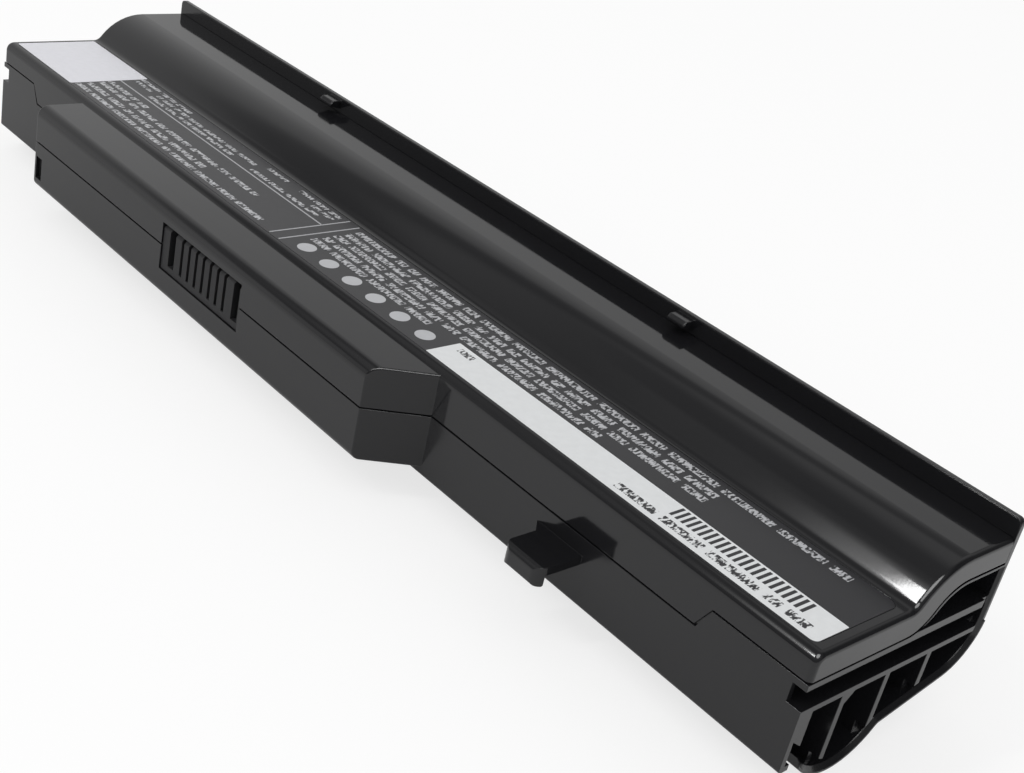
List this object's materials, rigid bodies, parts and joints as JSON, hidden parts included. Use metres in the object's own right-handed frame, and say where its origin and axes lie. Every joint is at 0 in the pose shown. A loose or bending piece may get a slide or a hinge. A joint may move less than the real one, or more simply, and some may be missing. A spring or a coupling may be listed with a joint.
{
  "type": "laptop battery",
  "caption": "Laptop battery pack: long black housing with a flat label side, a rounded step up over nested cells, a front connector block, a hook, a rear lip with catches and ribbed ends.",
  "frame": {"origin": "on the flat label side, half way along the pack and half way across the label", "axes": "+X along the pack, with the connector on the -X half of the -Y side; +Y from the connector side to the lip at the back; +Z out of the label side"},
  "size_m": [0.2108, 0.048, 0.0299],
  "materials": {
    "case_plastic": "black moulded plastic, low gloss",
    "cover_plastic": "black moulded plastic, polished plateau",
    "label_film": "dark printed film, satin",
    "connector_plastic": "black glass-filled plastic",
    "contact_brass": "gold-flashed brass",
    "circuit_board": "green solder mask",
    "chip_resin": "black moulding resin",
    "ceramic_white": "white ceramic",
    "cell_wrap": "blue shrink sleeve",
    "barley_paper": "grey insulating paper",
    "nickel": "plain nickel strip",
    "foam": "closed-cell foam",
    "thermistor_epoxy": "dipped epoxy",
    "lead_black": "black insulation",
    "lead_yellow": "yellow insulation",
    "lead_white": "white insulation",
    "lead_red": "red insulation"
  },
  "bodies": {
    "root": {"cell_1": "cell_wrap", "cell_2": "cell_wrap", "cell_3": "cell_wrap", "cell_4": "cell_wrap", "cell_5": "cell_wrap", "cell_6": "cell_wrap", "cell_washer_1": "barley_paper", "cell_washer_2": "barley_paper", "cell_washer_3": "barley_paper", "cell_washer_4": "barley_paper", "cell_washer_5": "barley_paper", "cell_washer_6": "barley_paper", "charge_mosfet": "chip_resin", "chemical_fuse": "ceramic_white", "connector_housing": "connector_plastic", "contact_1": "contact_brass", "contact_2": "contact_brass", "contact_3": "contact_brass", "contact_4": "contact_brass", "contact_5": "contact_brass", "contact_6": "contact_brass", "contact_7": "contact_brass", "discharge_mosfet": "chip_resin", "end_insulator_left": "barley_paper", "end_insulator_right": "barley_paper", "foam_back": "foam", "foam_front_left": "foam", "foam_front_right": "foam", "gauge_chip": "chip_resin", "label": "label_film", "lead_1": "lead_black", "lead_2": "lead_yellow", "lead_3": "lead_white", "lead_4": "lead_red", "lower_case": "case_plastic", "protection_board": "circuit_board", "sense_resistor": "chip_resin", "strap_1": "nickel", "strap_2": "nickel", "strap_3": "nickel", "strap_4": "nickel", "thermistor": "thermistor_epoxy", "thermistor_lead": "lead_black", "top_cover": "cover_plastic"}
  },
  "joints": []
}
